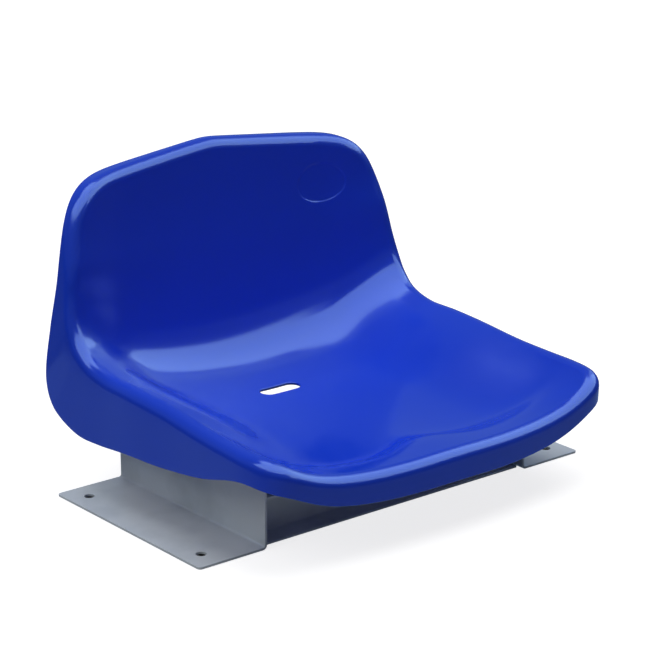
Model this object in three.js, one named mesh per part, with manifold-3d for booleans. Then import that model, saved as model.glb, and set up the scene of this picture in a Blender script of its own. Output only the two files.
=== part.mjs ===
// Low-back stadium seat: a moulded plastic bucket shell bolted to a welded base of folded steel.
// Millimetres, +Z up, the sitter faces -Y. The origin is under the middle of the whole seat, on the floor.
import * as THREE from 'three';
import { mergeVertices } from 'three/addons/utils/BufferGeometryUtils.js';
import Module from 'manifold-3d';

const wasm = await Module();
wasm.setup();

// Steel base
const baseDepth = 250; // brackets, front to back
const baseWidth = 350; // over the outer faces of the two upright walls
const baseHeight = 65; // floor to the top of the flanges that carry the shell
const footWidth = 80; // floor flange, measured from the wall's outer face
const ledgeWidth = 50; // top flange, measured from the wall's outer face
const sheet = 2.5; // steel thickness
const foldRadius = 2.5; // inside radius of every fold
const plateCornerRadius = 4;
const floorHole = 11; // diameter, for a concrete screw or an anchor bolt
const floorHoleFromEdge = 22;
const floorHoleFromEnd = 27;
const railHeight = 50;
const railFlange = 29;
const railSetBack = 8.5; // from the brackets' ends to the rail's flange edges
const weldLeg = 3.5;
const weldSetBack = 4; // bare steel left at each end of a bead

// Plastic shell
const shellWidth = 454; // over the rolled rim at the hips
const shellDepth = 427; // front lip to the back of the top edge
const shellRise = 262; // top flanges of the base to the top edge
const shellWall = 4;
const rimRadius = 12; // outside radius of the rolled rim
const slotLength = 50;
const slotWidth = 18.5;
const slotBehindMiddle = 74.8; // from the middle of the base
const lipRise = 13.5; // front lip above the seat's pan
const lipReach = 36; // lip's highest line to the middle of the slope behind it
const lipSoftness = 7; // how gently that slope starts and ends
const pommelWidth = 90; // bulge of the lip at the middle, towards the pan
const pommelReach = 24;
const pommelRise = 1.5;
const recessWidth = 60; // blank oval recess at the top corner of the back
const recessHeight = 44;
const recessDepth = 0.6;

// Fixings, at four corners of the base
const boltSize = 8; // thread diameter
const boltFromWall = 25; // inwards from the wall's outer face
const boltSpan = 130; // front bolt to rear bolt
const headRim = 2.5; // hexagon's flats past the thread
const headHeight = 5.3;
const springWasherRim = 3.1; // ring's width from bore to edge
const springWasherHeight = 2;
const springWasherSplit = 1;
const flatWasherRim = 5.7;
const flatWasherHeight = 1.6;
const ledgeHolePlay = 0.5; // hole past the thread, all round
const insertWall = 1.5;
const insertLength = 12.7;
const bossWall = 5;
const boltShortOfInsert = 0.3; // bolt's tip below the insert's end
const ribWidth = 3;
const ribRise = 8; // lower edge of the ribs above the base
const ribOverhang = 40; // rib past each bolt

const gap = 0.3; // clearance between pieces that touch
const overrun = 5; // cutters past the faces they cut

// Facets
const arcSteps = 6;
const roundSides = 24;
const lengthSteps = 40;
const widthSteps = 28;
const rollSteps = 4;
const recessRings = 2;

// Stations of the shell from the front lip to the top edge. Each gives the middle line (pan), the rim and
// the skirt below the rim. Ways back and up are shares of the shell's depth and rise from the middle of the
// base's top, and ways out are shares of half the width inside the rim.
const stationShares = [
  { pan: [-0.475, 0.037], rim: [0.972, -0.446, 0.209], skirt: [0.006, -0.1] },
  { pan: [-0.363, 0.036], rim: [0.97, -0.327, 0.203], skirt: [-0.01, -0.106] },
  { pan: [-0.211, 0.036], rim: [0.97, -0.187, 0.219], skirt: [-0.01, -0.18] },
  { pan: [-0.059, 0.038], rim: [0.972, -0.047, 0.245], skirt: [0, -0.24] },
  { pan: [0.082, 0.04], rim: [0.975, 0.077, 0.258], skirt: [0.016, -0.266] },
  { pan: [0.199, 0.044], rim: [0.972, 0.176, 0.264], skirt: [0.035, -0.29] },
  { pan: [0.288, 0.067], rim: [0.976, 0.251, 0.294], skirt: [0.06, -0.314] },
  { pan: [0.351, 0.137], rim: [0.985, 0.295, 0.345], skirt: [0.105, -0.298] },
  { pan: [0.382, 0.248], rim: [0.985, 0.321, 0.417], skirt: [0.112, -0.26] },
  { pan: [0.403, 0.401], rim: [0.966, 0.337, 0.519], skirt: [0.083, -0.15] },
  { pan: [0.419, 0.573], rim: [0.943, 0.347, 0.637], skirt: [0.048, -0.04] },
  { pan: [0.433, 0.752], rim: [0.92, 0.366, 0.785], skirt: [0.04, 0] },
  { pan: [0.445, 0.972], rim: [0.89, 0.375, 1], skirt: [0.07, 0] },
];
const frontSkirtShare = [0.002, -0.124]; // at the middle of the front lip
const topSkirtShare = [0.042, 0]; // at the middle of the top edge
const frontCornerPower = 22; // squareness of the outline's corners
const topCornerPower = 9.5;
const topFallShare = 0.064; // drop of the top edge from its middle to its sides
const topFallSoftnessShare = 0.05; // how softly the edge bends at its middle
const topFallPower = 4; // how late, going up, the surface starts to drop
const frontDishPower = 5; // how late the front lip turns up to its sides
const panFlatShare = 0.45; // from the middle line to where the side walls start
const backFlatShare = 0.62;
const panBowShare = 0.6; // one even bow against a wall at the side
const backBowShare = 0.75;
const panBlendShares = [-1, -0.5]; // places between which the lip's shape becomes the pan's
const backBlendShares = [-0.2, 0.3]; // places between which the pan's shape becomes the back's
const recessPlaceShare = 0.825;
const recessOutShare = 0.69;

// Materials
const bluePlastic = new THREE.MeshStandardMaterial({ color: 0x1f35c8, roughness: 0.25, metalness: 0 });
const paintedSteel = new THREE.MeshStandardMaterial({ color: 0x8e999f, roughness: 0.5, metalness: 0.3 });
const weldMetal = new THREE.MeshStandardMaterial({ color: 0x7a8286, roughness: 0.6, metalness: 0.4 });
const zincSteel = new THREE.MeshStandardMaterial({ color: 0xb8bcc0, roughness: 0.35, metalness: 1 });
const brass = new THREE.MeshStandardMaterial({ color: 0xb08d4a, roughness: 0.35, metalness: 1 });

const seat = new THREE.Group();

function addPiece(name, geometry, material) {
  const piece = new THREE.Mesh(geometry, material);
  piece.name = name;
  seat.add(piece);
  return piece;
}

// Booleans
function toSolid(geometry) {
  const bare = geometry.clone();
  bare.deleteAttribute('normal');
  bare.deleteAttribute('uv');
  const merged = mergeVertices(bare);
  const vertProperties = new Float32Array(merged.attributes.position.array);
  const triVerts = new Uint32Array(merged.index.array);
  return new wasm.Manifold(new wasm.Mesh({ numProp: 3, vertProperties, triVerts }));
}

function toGeometry(solid) {
  const mesh = solid.getMesh();
  const geometry = new THREE.BufferGeometry();
  geometry.setAttribute('position', new THREE.BufferAttribute(mesh.vertProperties, mesh.numProp));
  geometry.setIndex(new THREE.BufferAttribute(mesh.triVerts, 1));
  return geometry;
}

// An upright round bar between two heights
function uprightBar(radius, bottom, top, x, y, sides = roundSides) {
  const bar = new THREE.CylinderGeometry(radius, radius, top - bottom, sides);
  bar.rotateX(Math.PI / 2);
  bar.translate(x, y, (bottom + top) / 2);
  return bar;
}

function block(width, depth, bottom, top, x, y) {
  const box = new THREE.BoxGeometry(width, depth, top - bottom);
  box.translate(x, y, (bottom + top) / 2);
  return box;
}

// Outline of a folded strip: the middle of the sheet runs through the corners, with a round bend at each
function foldedStrip(corners) {
  const bend = foldRadius + sheet / 2;
  const stops = [];
  for (let i = 0; i < corners.length; i++) {
    const here = corners[i];
    const next = corners[Math.min(i + 1, corners.length - 1)];
    const last = corners[Math.max(i - 1, 0)];
    const onward = next.clone().sub(here).normalize();
    const before = here.clone().sub(last).normalize();
    if (i === 0 || i === corners.length - 1) {
      const way = i === 0 ? onward : before;
      stops.push({ at: here, side: new THREE.Vector2(-way.y, way.x) });
      continue;
    }
    const turn = Math.sign(before.cross(onward));
    const side = new THREE.Vector2(-before.y, before.x);
    const start = here.clone().addScaledVector(before, -bend);
    const pivot = start.clone().addScaledVector(side, turn * bend);
    for (let step = 0; step <= arcSteps; step++) {
      const angle = (turn * step * Math.PI) / 2 / arcSteps;
      const arm = side.clone().rotateAround(new THREE.Vector2(), angle);
      stops.push({ at: pivot.clone().addScaledVector(arm, -turn * bend), side: arm });
    }
  }
  const left = stops.map(({ at, side }) => at.clone().addScaledVector(side, sheet / 2));
  const right = stops.map(({ at, side }) => at.clone().addScaledVector(side, -sheet / 2));
  return new THREE.Shape([...left, ...right.reverse()]);
}

// A plate outline with four equal round corners
function roundedPlate(left, right, front, back, radius) {
  const shape = new THREE.Shape();
  shape.absarc(right - radius, front + radius, radius, -Math.PI / 2, 0);
  shape.absarc(right - radius, back - radius, radius, 0, Math.PI / 2);
  shape.absarc(left + radius, back - radius, radius, Math.PI / 2, Math.PI);
  shape.absarc(left + radius, front + radius, radius, Math.PI, (3 * Math.PI) / 2);
  shape.closePath();
  return shape;
}

const boltOut = baseWidth / 2 - boltFromWall;

// Brackets: Z-shaped folded sheet, foot outwards and top flange inwards
function bracket(side) {
  const wall = side * (baseWidth / 2 - sheet / 2);
  const footEnd = side * (baseWidth / 2 + footWidth);
  const ledgeEnd = side * (baseWidth / 2 - ledgeWidth);
  const strip = foldedStrip([
    new THREE.Vector2(footEnd, sheet / 2),
    new THREE.Vector2(wall, sheet / 2),
    new THREE.Vector2(wall, baseHeight - sheet / 2),
    new THREE.Vector2(ledgeEnd, baseHeight - sheet / 2),
  ]);
  const folded = new THREE.ExtrudeGeometry(strip, { depth: baseDepth, bevelEnabled: false });
  folded.rotateX(Math.PI / 2);
  folded.translate(0, baseDepth / 2, 0);
  const left = Math.min(footEnd, ledgeEnd);
  const right = Math.max(footEnd, ledgeEnd);
  const plan = roundedPlate(left, right, -baseDepth / 2, baseDepth / 2, plateCornerRadius);
  const blank = new THREE.ExtrudeGeometry(plan, {
    depth: baseHeight + 2 * overrun, bevelEnabled: false, curveSegments: arcSteps,
  });
  blank.translate(0, 0, -overrun);
  let solid = toSolid(folded).intersect(toSolid(blank));
  for (const end of [-1, 1]) {
    const footX = side * (baseWidth / 2 + footWidth - floorHoleFromEdge);
    const footY = end * (baseDepth / 2 - floorHoleFromEnd);
    const footCutter = uprightBar(floorHole / 2, -overrun, sheet + overrun, footX, footY);
    solid = solid.subtract(toSolid(footCutter));
    const ledgeBottom = baseHeight - sheet - overrun;
    const ledgeTop = baseHeight + overrun;
    const ledgeY = (end * boltSpan) / 2;
    const radius = boltSize / 2 + ledgeHolePlay;
    const ledgeCutter = uprightBar(radius, ledgeBottom, ledgeTop, side * boltOut, ledgeY);
    solid = solid.subtract(toSolid(ledgeCutter));
  }
  return toGeometry(solid);
}

for (const [name, side] of [['left_bracket', -1], ['right_bracket', 1]]) {
  addPiece(name, bracket(side), paintedSteel);
}

// Rails: channels between the walls, open towards the front and towards the back
const railLength = baseWidth - 2 * sheet - 2 * gap;

function rail(end) {
  const tip = end * (baseDepth / 2 - railSetBack);
  const web = tip - end * (railFlange - sheet / 2);
  const strip = foldedStrip([
    new THREE.Vector2(tip, sheet / 2),
    new THREE.Vector2(web, sheet / 2),
    new THREE.Vector2(web, railHeight - sheet / 2),
    new THREE.Vector2(tip, railHeight - sheet / 2),
  ]);
  const channel = new THREE.ExtrudeGeometry(strip, { depth: railLength, bevelEnabled: false });
  channel.rotateX(Math.PI / 2);
  channel.rotateZ(Math.PI / 2);
  channel.translate(-railLength / 2, 0, 0);
  return channel;
}

for (const [name, end] of [['front_rail', -1], ['rear_rail', 1]]) {
  addPiece(name, rail(end), paintedSteel);
}

// Weld beads: fillets in the corners between a rail and a wall, one up the web and one on the lower flange
function beadOutline() {
  const shape = new THREE.Shape();
  shape.moveTo(gap, gap);
  shape.lineTo(gap + weldLeg, gap);
  const bulge = gap + weldLeg * Math.SQRT1_2;
  shape.quadraticCurveTo(bulge, bulge, gap, gap + weldLeg);
  shape.closePath();
  return shape;
}

function weldBeads(side, end) {
  const wallFace = side * (baseWidth / 2 - sheet);
  const tip = end * (baseDepth / 2 - railSetBack);
  const webBack = tip - end * railFlange;
  const flangeStart = tip - end * weldSetBack;
  const insideWeb = tip - end * (railFlange - sheet - foldRadius);
  const webBottom = sheet + foldRadius + weldSetBack;
  const webTop = railHeight - sheet - foldRadius - weldSetBack;
  const options = { bevelEnabled: false, curveSegments: arcSteps };

  const upright = new THREE.ExtrudeGeometry(beadOutline(), { depth: webTop - webBottom, ...options });
  if (side * end > 0) upright.rotateZ(side > 0 ? Math.PI : 0);
  else upright.rotateZ(side > 0 ? Math.PI / 2 : -Math.PI / 2);
  upright.translate(wallFace, webBack, webBottom);

  const flangeRun = Math.abs(flangeStart - insideWeb);
  const level = new THREE.ExtrudeGeometry(beadOutline(), { depth: flangeRun, ...options });
  level.rotateX(Math.PI / 2);
  if (side > 0) level.rotateZ(Math.PI);
  const farEnd = side > 0 ? Math.min(flangeStart, insideWeb) : Math.max(flangeStart, insideWeb);
  level.translate(wallFace, farEnd, sheet);
  return { upright, level };
}

for (const [sideName, side] of [['left', -1], ['right', 1]]) {
  for (const [endName, end] of [['front', -1], ['rear', 1]]) {
    const { upright, level } = weldBeads(side, end);
    addPiece(`${sideName}_${endName}_web_weld`, upright, weldMetal);
    addPiece(`${sideName}_${endName}_flange_weld`, level, weldMetal);
  }
}

// Shell surface
const stationCount = stationShares.length;
const innerHalfWidth = shellWidth / 2 - rimRadius;

// Smooth curve through a column of the station table; place runs from -1, front, to 1, top
function alongStations(read, place) {
  const scaled = ((place + 1) / 2) * (stationCount - 1);
  const start = Math.min(Math.max(Math.floor(scaled), 0), stationCount - 2);
  const t = scaled - start;
  const first = read(stationShares[start]);
  const second = read(stationShares[start + 1]);
  const before = start > 0 ? read(stationShares[start - 1]) : 2 * first - second;
  const after = start < stationCount - 2 ? read(stationShares[start + 2]) : 2 * second - first;
  const slopeIn = (second - before) / 2;
  const slopeOut = (after - first) / 2;
  const rise = second - first;
  const bend = 3 * rise - 2 * slopeIn - slopeOut;
  return first + t * (slopeIn + t * (bend + t * (slopeIn + slopeOut - 2 * rise)));
}

function backAndUp(key, offset, place) {
  const back = shellDepth * alongStations((row) => row[key][offset], place);
  const up = shellRise * alongStations((row) => row[key][offset + 1], place);
  return [back, up];
}

// How far the surface has turned up to its rim: flat in the middle, hollow beside it, rounded at the rim
function sideTurn(place, out) {
  const backness = THREE.MathUtils.smoothstep(place, ...backBlendShares);
  const flat = THREE.MathUtils.lerp(panFlatShare, backFlatShare, backness);
  const bow = THREE.MathUtils.lerp(panBowShare, backBowShare, backness);
  const wall = THREE.MathUtils.smootherstep(Math.abs(out), flat, 1);
  return THREE.MathUtils.lerp(wall, out * out, bow);
}

// Height of the front lip above the pan, with its bulge at the middle
function lipHeight(panBack, x) {
  const behindLip = panBack - shellDepth * stationShares[0].pan[0];
  const across = (2 * x) / pommelWidth;
  const pommel = Math.exp(-across * across);
  const reach = lipReach + pommelReach * pommel;
  return (lipRise + pommelRise * pommel) / (1 + Math.exp((behindLip - reach) / lipSoftness));
}

// A point of the sitting surface: place from front to top, out from -1, left rim, to 1, right rim
function surfacePoint(place, out) {
  const [panBack, panUp] = backAndUp('pan', 0, place);
  const [rimBack, rimUp] = backAndUp('rim', 1, place);
  const x = out * innerHalfWidth * alongStations((row) => row.rim[0], place);
  const lipTop = panUp + lipHeight(panBack, x);
  const side = sideTurn(place, out);
  const frontUp = Math.pow(Math.abs(out), frontDishPower);
  const frontForward = 1 - (1 - out * out) ** 2;
  const panness = THREE.MathUtils.smoothstep(place, ...panBlendShares);
  const backness = THREE.MathUtils.smoothstep(place, ...backBlendShares);
  const turnUp = THREE.MathUtils.lerp(frontUp, side, panness);
  const turnForward = THREE.MathUtils.lerp(frontForward, side, backness);
  const y = panBack + turnForward * (rimBack - panBack);
  return new THREE.Vector3(x, y, baseHeight + lipTop + turnUp * (rimUp - lipTop));
}

// Grid lines run even in the middle and closer near the rim
function gridShare(index, steps) {
  const even = (2 * index) / steps - 1;
  return (even + Math.sin((even * Math.PI) / 2)) / 2;
}

// The grid's corners are drawn in to the outline's round corners, and the top edge down to its sides
function roundedPlace(u, v) {
  const reach = Math.max(Math.abs(u), Math.abs(v));
  if (reach === 0) return [0, 0];
  const power = u < 0 ? frontCornerPower : topCornerPower;
  const ratio = Math.min(Math.abs(u), Math.abs(v)) / reach;
  const rim = Math.pow(1 + Math.pow(ratio, power), -1 / power);
  const shrink = 1 - (1 - rim) * Math.pow(reach, power);
  const place = u * shrink;
  const out = v * shrink;
  const soft = topFallSoftnessShare;
  const slope = (Math.hypot(out, soft) - soft) / (Math.hypot(1, soft) - soft);
  return [place - topFallShare * Math.pow(Math.max(place, 0), topFallPower) * slope, out];
}

// Surface normal, towards the sitter
function surfaceNormal(place, out) {
  const step = 1e-4;
  const alongWay = surfacePoint(place + step, out).sub(surfacePoint(place - step, out));
  const acrossWay = surfacePoint(place, out + step).sub(surfacePoint(place, out - step));
  return acrossWay.cross(alongWay).normalize();
}

// Depth and direction of the skirt at a point of the outline
function skirtVector(place, out) {
  const [back, up] = backAndUp('skirt', 0, place);
  const middleShare = place < 0 ? frontSkirtShare : topSkirtShare;
  const y = THREE.MathUtils.lerp(shellDepth * middleShare[0], back, out * out);
  const z = THREE.MathUtils.lerp(shellRise * middleShare[1], up, out * out);
  return new THREE.Vector3(0, y, z);
}

// Outline of the grid, once round: the (u, v) of each edge vertex
function outlinePlaces() {
  const us = Array.from({ length: lengthSteps + 1 }, (_, i) => gridShare(i, lengthSteps));
  const vs = Array.from({ length: widthSteps + 1 }, (_, i) => gridShare(i, widthSteps));
  const ring = [];
  for (let j = 0; j < widthSteps; j++) ring.push({ i: 0, j, u: us[0], v: vs[j] });
  for (let i = 0; i < lengthSteps; i++) ring.push({ i, j: widthSteps, u: us[i], v: vs[widthSteps] });
  for (let j = widthSteps; j > 0; j--) ring.push({ i: lengthSteps, j, u: us[lengthSteps], v: vs[j] });
  for (let i = lengthSteps; i > 0; i--) ring.push({ i, j: 0, u: us[i], v: vs[0] });
  return ring;
}

// Closed skin of the shell: the sitting surface with its rolled rim and skirt, and the same skin moved in by
// the wall, joined at the skirt's edge
function shellSkin() {
  const positions = [];
  const faces = [];
  const ring = outlinePlaces();
  const addPoint = (point) => positions.push(point.x, point.y, point.z) / 3 - 1;

  // Frames at the rim: outward tangent, turning direction and turning angle
  const rims = ring.map(({ u, v }, index) => {
    const [place, out] = roundedPlace(u, v);
    const at = surfacePoint(place, out);
    const normal = surfaceNormal(place, out);
    const ahead = ring[(index + 1) % ring.length];
    const behind = ring[(index + ring.length - 1) % ring.length];
    const tangent = surfacePoint(...roundedPlace(ahead.u, ahead.v));
    tangent.sub(surfacePoint(...roundedPlace(behind.u, behind.v))).normalize();
    const outward = tangent.clone().cross(normal).normalize();
    const skirt = skirtVector(place, out);
    const depth = skirt.length();
    const down = skirt.normalize();
    const inward = down.clone().addScaledVector(outward, -down.dot(outward)).normalize();
    const turn = outward.angleTo(down);
    return { at, outward, inward, down, turn, depth };
  });

  function rimPoint({ at, outward, inward, turn }, radius, step) {
    const angle = (turn * step) / rollSteps;
    const point = at.clone().addScaledVector(inward, rimRadius);
    point.addScaledVector(outward, radius * Math.sin(angle));
    return point.addScaledVector(inward, -radius * Math.cos(angle));
  }

  function skinSide(inset) {
    const grid = [];
    for (let i = 0; i <= lengthSteps; i++) {
      grid.push([]);
      for (let j = 0; j <= widthSteps; j++) {
        const [place, out] = roundedPlace(gridShare(i, lengthSteps), gridShare(j, widthSteps));
        const point = surfacePoint(place, out).addScaledVector(surfaceNormal(place, out), -inset);
        grid[i].push(point);
      }
    }
    ring.forEach(({ i, j }, index) => {
      grid[i][j] = rimPoint(rims[index], rimRadius - inset, 0);
    });
    const numbers = grid.map((row) => row.map(addPoint));
    const rows = [ring.map(({ i, j }) => numbers[i][j])];
    for (let step = 1; step <= rollSteps; step++) {
      rows.push(rims.map((rim) => addPoint(rimPoint(rim, rimRadius - inset, step))));
    }
    rows.push(rims.map((rim) => {
      const rollDrop = rimRadius * Math.sin(rim.turn);
      const left = Math.max(rim.depth - rollDrop, shellWall);
      return addPoint(rimPoint(rim, rimRadius - inset, rollSteps).addScaledVector(rim.down, left));
    }));
    return { numbers, rows };
  }

  const outer = skinSide(0);
  const inner = skinSide(shellWall);
  const quad = (a, b, c, d, flip) => {
    if (flip) faces.push(a, c, b, a, d, c);
    else faces.push(a, b, c, a, c, d);
  };
  for (const [{ numbers, rows }, flip] of [[outer, false], [inner, true]]) {
    for (let i = 0; i < lengthSteps; i++) {
      for (let j = 0; j < widthSteps; j++) {
        quad(numbers[i][j], numbers[i][j + 1], numbers[i + 1][j + 1], numbers[i + 1][j], flip);
      }
    }
    for (let row = 0; row < rows.length - 1; row++) {
      for (let k = 0; k < ring.length; k++) {
        const next = (k + 1) % ring.length;
        quad(rows[row][k], rows[row + 1][k], rows[row + 1][next], rows[row][next], flip);
      }
    }
  }
  const outerEdge = outer.rows.at(-1);
  const innerEdge = inner.rows.at(-1);
  for (let k = 0; k < ring.length; k++) {
    const next = (k + 1) % ring.length;
    quad(outerEdge[k], innerEdge[k], innerEdge[next], outerEdge[next], false);
  }
  const geometry = new THREE.BufferGeometry();
  geometry.setAttribute('position', new THREE.BufferAttribute(new Float32Array(positions), 3));
  geometry.setIndex(faces);
  return geometry;
}

// Everything under the middle of the pan's wall, down to the base: it trims the bosses and ribs
function spaceUnderPan() {
  const positions = [];
  const faces = [];
  const top = [];
  const bottom = [];
  const addPoint = (x, y, z) => positions.push(x, y, z) / 3 - 1;
  const lastStation = Math.floor(lengthSteps / 2);
  for (let i = 0; i <= lastStation; i++) {
    top.push([]);
    bottom.push([]);
    for (let j = 0; j <= widthSteps; j++) {
      const [place, out] = roundedPlace(gridShare(i, lengthSteps), gridShare(j, widthSteps));
      const point = surfacePoint(place, out).addScaledVector(surfaceNormal(place, out), -shellWall / 2);
      top[i].push(addPoint(point.x, point.y, point.z));
      bottom[i].push(addPoint(point.x, point.y, baseHeight - overrun));
    }
  }
  const quad = (a, b, c, d) => faces.push(a, b, c, a, c, d);
  for (let i = 0; i < lastStation; i++) {
    for (let j = 0; j < widthSteps; j++) {
      quad(top[i][j], top[i][j + 1], top[i + 1][j + 1], top[i + 1][j]);
      quad(bottom[i][j], bottom[i + 1][j], bottom[i + 1][j + 1], bottom[i][j + 1]);
    }
    quad(top[i][0], top[i + 1][0], bottom[i + 1][0], bottom[i][0]);
    quad(top[i][widthSteps], bottom[i][widthSteps], bottom[i + 1][widthSteps], top[i + 1][widthSteps]);
  }
  for (let j = 0; j < widthSteps; j++) {
    quad(top[0][j], bottom[0][j], bottom[0][j + 1], top[0][j + 1]);
    quad(top[lastStation][j], top[lastStation][j + 1], bottom[lastStation][j + 1], bottom[lastStation][j]);
  }
  const geometry = new THREE.BufferGeometry();
  geometry.setAttribute('position', new THREE.BufferAttribute(new Float32Array(positions), 3));
  geometry.setIndex(faces);
  return geometry;
}

function drainSlotCutter() {
  const half = slotLength / 2 - slotWidth / 2;
  const shape = new THREE.Shape();
  shape.absarc(half, 0, slotWidth / 2, -Math.PI / 2, Math.PI / 2);
  shape.absarc(-half, 0, slotWidth / 2, Math.PI / 2, (3 * Math.PI) / 2);
  shape.closePath();
  const cutter = new THREE.ExtrudeGeometry(shape, {
    depth: shellRise, bevelEnabled: false, curveSegments: arcSteps,
  });
  cutter.translate(0, slotBehindMiddle, baseHeight - overrun);
  return cutter;
}

// Oval recess: a cutter whose floor follows the surface at the recess's depth
function recessCutter() {
  const step = 1e-4;
  const acrossWay = surfacePoint(recessPlaceShare, recessOutShare + step);
  acrossWay.sub(surfacePoint(recessPlaceShare, recessOutShare - step));
  const upWay = surfacePoint(recessPlaceShare + step, recessOutShare);
  upWay.sub(surfacePoint(recessPlaceShare - step, recessOutShare));
  const outReach = (recessWidth * step) / acrossWay.length();
  const placeReach = (recessHeight * step) / upWay.length();
  const positions = [];
  const faces = [];
  const addPoint = (share, angle, offset) => {
    const place = recessPlaceShare + share * placeReach * Math.sin(angle);
    const out = recessOutShare + share * outReach * Math.cos(angle);
    const point = surfacePoint(place, out).addScaledVector(surfaceNormal(place, out), offset);
    return positions.push(point.x, point.y, point.z) / 3 - 1;
  };
  const layers = [-recessDepth, overrun].map((offset) => {
    const rings = [];
    for (let ring = 1; ring <= recessRings; ring++) {
      const angles = Array.from({ length: roundSides }, (_, k) => (2 * Math.PI * k) / roundSides);
      rings.push(angles.map((angle) => addPoint(ring / recessRings, angle, offset)));
    }
    return { centre: addPoint(0, 0, offset), rings };
  });
  const [floor, roof] = layers;
  for (let k = 0; k < roundSides; k++) {
    const next = (k + 1) % roundSides;
    faces.push(floor.centre, floor.rings[0][next], floor.rings[0][k]);
    faces.push(roof.centre, roof.rings[0][k], roof.rings[0][next]);
    for (let ring = 0; ring < recessRings - 1; ring++) {
      const [a, b, c, d] = [floor.rings[ring][k], floor.rings[ring][next],
        floor.rings[ring + 1][next], floor.rings[ring + 1][k]];
      faces.push(a, b, c, a, c, d);
      const [e, f, g, h] = [roof.rings[ring][k], roof.rings[ring][next],
        roof.rings[ring + 1][next], roof.rings[ring + 1][k]];
      faces.push(e, g, f, e, h, g);
    }
    const edge = recessRings - 1;
    faces.push(floor.rings[edge][k], floor.rings[edge][next], roof.rings[edge][next]);
    faces.push(floor.rings[edge][k], roof.rings[edge][next], roof.rings[edge][k]);
  }
  const geometry = new THREE.BufferGeometry();
  geometry.setAttribute('position', new THREE.BufferAttribute(new Float32Array(positions), 3));
  geometry.setIndex(faces);
  return geometry;
}

// Heights and widths that the bosses, ledge holes and fixings share
const insertOuter = boltSize + 2 * insertWall;
const bossOuter = insertOuter + 2 * gap + 2 * bossWall;
const bossBottom = baseHeight + gap;
const insertBottom = bossBottom + gap;
const insertTop = insertBottom + insertLength;

function seatShell() {
  const under = toSolid(spaceUnderPan());
  let solid = toSolid(shellSkin()).subtract(toSolid(recessCutter()));
  for (const side of [-1, 1]) {
    const ribDepth = boltSpan + 2 * ribOverhang;
    const rib = block(ribWidth, ribDepth, baseHeight + ribRise, baseHeight + shellRise, side * boltOut, 0);
    solid = solid.add(toSolid(rib).intersect(under));
    for (const end of [-1, 1]) {
      const y = (end * boltSpan) / 2;
      const boss = uprightBar(bossOuter / 2, bossBottom, baseHeight + shellRise, side * boltOut, y);
      solid = solid.add(toSolid(boss).intersect(under));
    }
  }
  for (const side of [-1, 1]) {
    for (const end of [-1, 1]) {
      const y = (end * boltSpan) / 2;
      const radius = insertOuter / 2 + gap;
      const hole = uprightBar(radius, bossBottom - overrun, insertTop + gap, side * boltOut, y);
      solid = solid.subtract(toSolid(hole));
    }
  }
  solid = solid.subtract(toSolid(drainSlotCutter()));
  return toGeometry(solid);
}

addPiece('seat_shell', seatShell(), bluePlastic);

// Fixings: each stack hangs from the underside of a top flange and runs up into an insert in a boss
const ledgeUnderside = baseHeight - sheet;
const flatWasherTop = ledgeUnderside - gap;
const springWasherTop = flatWasherTop - flatWasherHeight - gap;
const headTop = springWasherTop - springWasherHeight - gap;

function ringPiece(outer, inner, bottom, top) {
  const shape = new THREE.Shape();
  shape.absarc(0, 0, outer, 0, 2 * Math.PI);
  const hole = new THREE.Path();
  hole.absarc(0, 0, inner, 0, 2 * Math.PI, true);
  shape.holes.push(hole);
  const options = { depth: top - bottom, bevelEnabled: false, curveSegments: roundSides / 2 };
  return new THREE.ExtrudeGeometry(shape, options).translate(0, 0, bottom);
}

const bore = boltSize / 2 + gap;

function hexBolt() {
  const headRadius = (boltSize + 2 * headRim) / Math.sqrt(3);
  const head = uprightBar(headRadius, headTop - headHeight, headTop, 0, 0, 6);
  const tip = insertTop - boltShortOfInsert;
  const shank = uprightBar(boltSize / 2, headTop - headHeight / 2, tip, 0, 0);
  return toGeometry(toSolid(head).add(toSolid(shank)));
}

function springWasher() {
  const outer = bore + springWasherRim;
  const bottom = springWasherTop - springWasherHeight;
  const ring = ringPiece(outer, bore, bottom, springWasherTop);
  const middleOfRing = (bore + outer) / 2;
  const splitLength = springWasherRim + 2 * gap;
  const splitTop = springWasherTop + overrun;
  const split = block(splitLength, springWasherSplit, bottom - overrun, splitTop, middleOfRing, 0);
  return toGeometry(toSolid(ring).subtract(toSolid(split)));
}

function flatWasher() {
  return ringPiece(bore + flatWasherRim, bore, flatWasherTop - flatWasherHeight, flatWasherTop);
}

function threadedInsert() {
  return ringPiece(insertOuter / 2, bore, insertBottom, insertTop);
}

for (const [sideName, side] of [['left', -1], ['right', 1]]) {
  for (const [endName, end] of [['front', -1], ['rear', 1]]) {
    const pieces = [
      addPiece(`${sideName}_${endName}_bolt`, hexBolt(), zincSteel),
      addPiece(`${sideName}_${endName}_spring_washer`, springWasher(), zincSteel),
      addPiece(`${sideName}_${endName}_flat_washer`, flatWasher(), zincSteel),
      addPiece(`${sideName}_${endName}_insert`, threadedInsert(), brass),
    ];
    for (const piece of pieces) piece.position.set(side * boltOut, (end * boltSpan) / 2, 0);
  }
}

// The origin goes under the middle of the whole seat
const extent = new THREE.Box3().setFromObject(seat);
const middle = extent.getCenter(new THREE.Vector3());
seat.position.set(-middle.x, -middle.y, -extent.min.z);

export default seat;
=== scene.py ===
from math import cos, pi, radians, sin, sqrt, tan

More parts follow.
